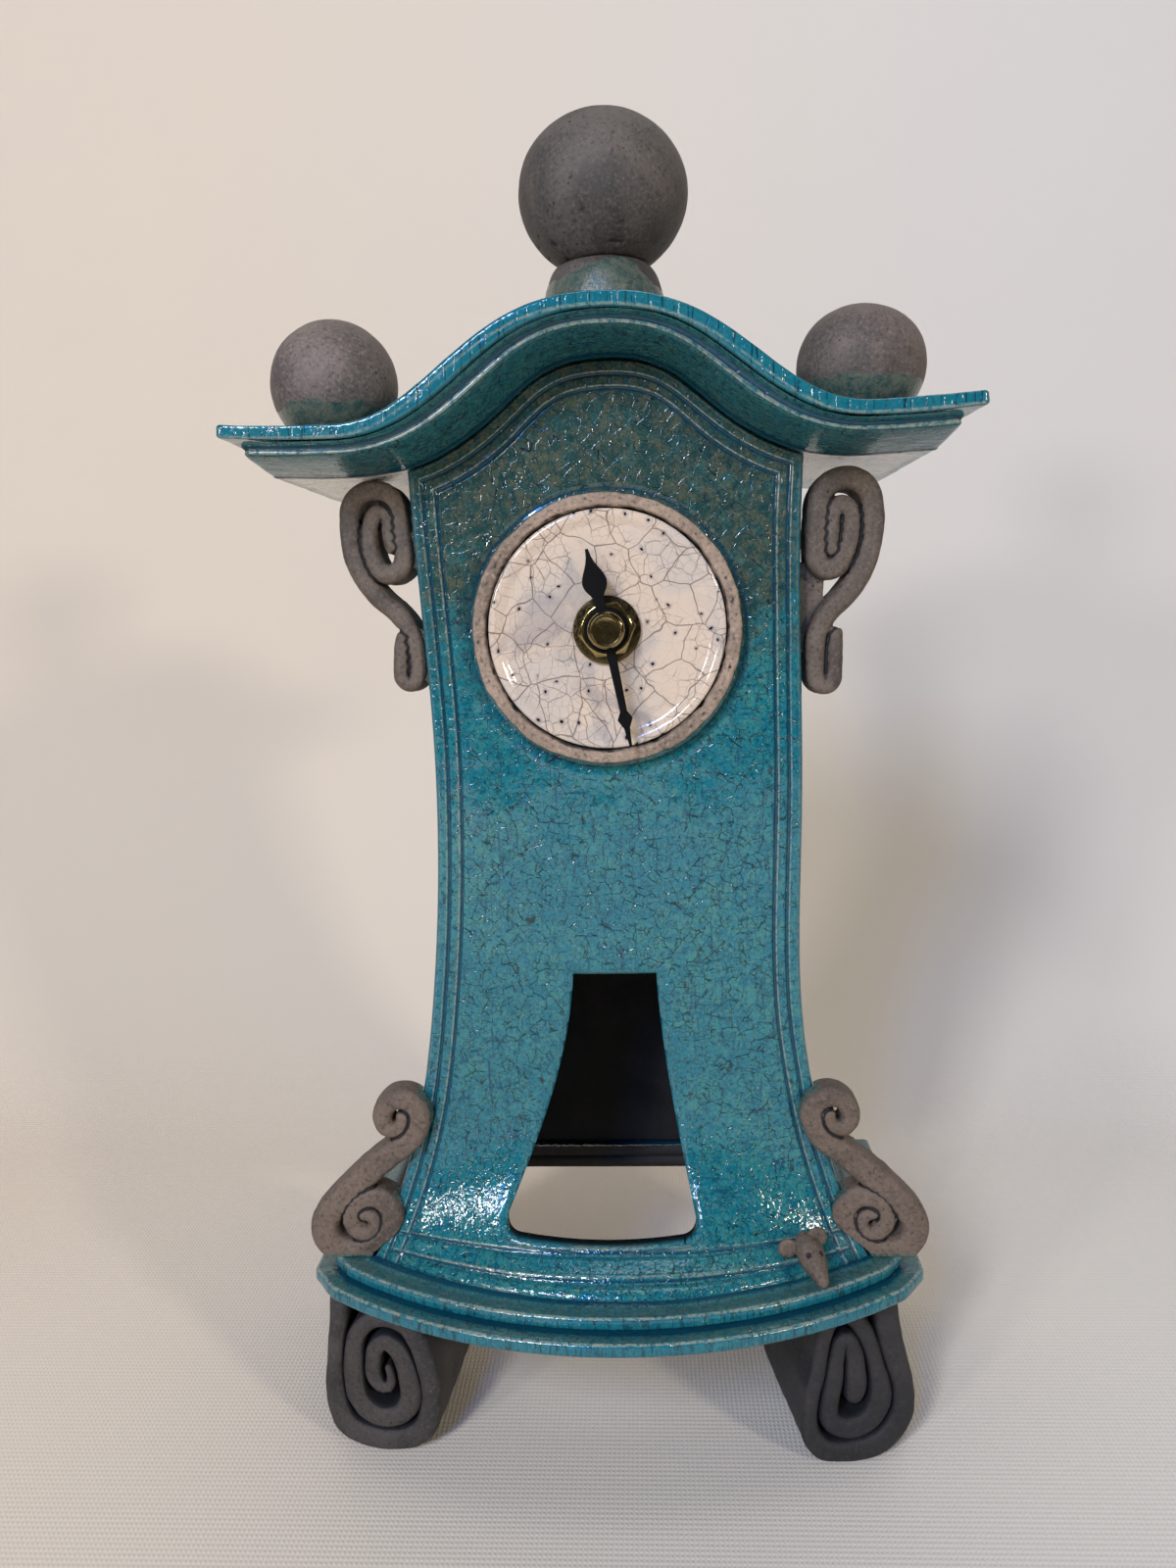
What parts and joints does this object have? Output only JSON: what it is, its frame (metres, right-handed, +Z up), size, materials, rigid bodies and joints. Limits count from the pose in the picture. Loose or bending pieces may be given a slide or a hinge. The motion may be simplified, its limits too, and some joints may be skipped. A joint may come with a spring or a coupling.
{
  "type": "mantel clock",
  "caption": "Slab-built ceramic mantel clock with an ogee roof, bow-front stepped base, coiled feet and scrolls, ball finials, a round crackle dial and a battery movement.",
  "frame": {"origin": "middle of the clock's outline at the level of the surface that it stands on", "axes": "+X to the right as seen from the front, +Y from the dial towards the back, +Z up"},
  "size_m": [0.1655, 0.1124, 0.3313],
  "materials": {
    "turquoise_glaze": "glossy mottled turquoise and grey-green crackle glaze",
    "smoked_clay": "matte smoked bare clay",
    "crackle_white": "satin white glaze with smoked crackle lines",
    "brass": "turned, lightly polished",
    "steel": "bright",
    "black_lacquer": "matt black",
    "black_plastic": "fine-grained",
    "wheel_plastic": "moulded white",
    "rubber": "soft",
    "copper_wire": "enamelled copper winding",
    "circuit_board": "green laminate",
    "battery_jacket": "printed film over a steel can, plain"
  },
  "bodies": {
    "clock_case": {"front_panel": "turquoise_glaze", "left_side_wall": "turquoise_glaze", "right_side_wall": "turquoise_glaze", "back_panel": "smoked_clay", "roof_slab": "turquoise_glaze", "roof_cornice": "turquoise_glaze", "base_plate": "turquoise_glaze", "base_step": "turquoise_glaze", "front_left_foot": "smoked_clay", "front_right_foot": "smoked_clay", "rear_left_foot": "smoked_clay", "rear_right_foot": "smoked_clay", "left_upper_scroll": "smoked_clay", "right_upper_scroll": "smoked_clay", "left_lower_scroll": "smoked_clay", "right_lower_scroll": "smoked_clay", "left_ball": "smoked_clay", "right_ball": "smoked_clay", "top_ball_collar": "smoked_clay", "top_ball": "smoked_clay", "mouse_head": "smoked_clay", "dial_ring": "smoked_clay", "dial_disc": "crackle_white", "rubber_washer": "rubber", "brass_washer": "brass", "hex_nut": "brass", "threaded_bushing": "brass", "movement_case": "black_plastic", "movement_cover": "black_plastic", "stator": "steel", "coil": "copper_wire", "circuit_board": "circuit_board", "battery": "battery_jacket", "battery_plus_contact": "steel", "battery_minus_contact": "steel"},
    "hour_group": {"hour_wheel": "wheel_plastic", "hour_hand": "black_lacquer"},
    "minute_group": {"minute_arbor": "steel", "minute_hand": "black_lacquer", "cap_nut": "brass"},
    "motion_group": {"motion_wheel": "wheel_plastic"},
    "setting_group": {"setting_knob": "wheel_plastic"},
    "centre_group": {"centre_wheel": "wheel_plastic"},
    "third_group": {"third_wheel": "wheel_plastic"},
    "seconds_group": {"seconds_wheel": "wheel_plastic"},
    "intermediate_group": {"intermediate_wheel": "wheel_plastic"},
    "rotor_group": {"rotor": "steel"}
  },
  "joints": [
    {"name": "minute_spin", "type": "hinge", "parent": "clock_case", "child": "minute_group", "pos_m": [0.0007, -0.00225, 0.2092], "axis": [0, 1, 0], "continuous": true},
    {"name": "hour_spin", "type": "hinge", "parent": "clock_case", "child": "hour_group", "pos_m": [0.0007, -0.00225, 0.2092], "axis": [0, 1, 0], "continuous": true},
    {"name": "motion_spin", "type": "hinge", "parent": "clock_case", "child": "motion_group", "pos_m": [0.0057, -0.00225, 0.21786], "axis": [0, 1, 0], "continuous": true},
    {"name": "setting_spin", "type": "hinge", "parent": "clock_case", "child": "setting_group", "pos_m": [0.0151, -0.00225, 0.22128], "axis": [0, 1, 0], "continuous": true},
    {"name": "rotor_spin", "type": "hinge", "parent": "clock_case", "child": "rotor_group", "pos_m": [0.00326, -0.00225, 0.22849], "axis": [0, 1, 0], "continuous": true},
    {"name": "intermediate_spin", "type": "hinge", "parent": "clock_case", "child": "intermediate_group", "pos_m": [-0.00308, -0.00225, 0.22554], "axis": [0, 1, 0], "continuous": true},
    {"name": "seconds_spin", "type": "hinge", "parent": "clock_case", "child": "seconds_group", "pos_m": [-0.01013, -0.00225, 0.22297], "axis": [0, 1, 0], "continuous": true},
    {"name": "third_spin", "type": "hinge", "parent": "clock_case", "child": "third_group", "pos_m": [-0.00865, -0.00225, 0.2146], "axis": [0, 1, 0], "continuous": true},
    {"name": "centre_spin", "type": "hinge", "parent": "clock_case", "child": "centre_group", "pos_m": [0.0007, -0.00225, 0.2092], "axis": [0, 1, 0], "continuous": true}
  ],
  "couplings": [
    {"joint": "motion_spin", "follows": "minute_spin", "ratio": -0.33333},
    {"joint": "hour_spin", "follows": "minute_spin", "ratio": 0.083333},
    {"joint": "setting_spin", "follows": "minute_spin", "ratio": 1},
    {"joint": "intermediate_spin", "follows": "rotor_spin", "ratio": -0.16667},
    {"joint": "seconds_spin", "follows": "rotor_spin", "ratio": 0.033333},
    {"joint": "third_spin", "follows": "rotor_spin", "ratio": -0.0044444},
    {"joint": "centre_spin", "follows": "rotor_spin", "ratio": 0.00055556}
  ]
}
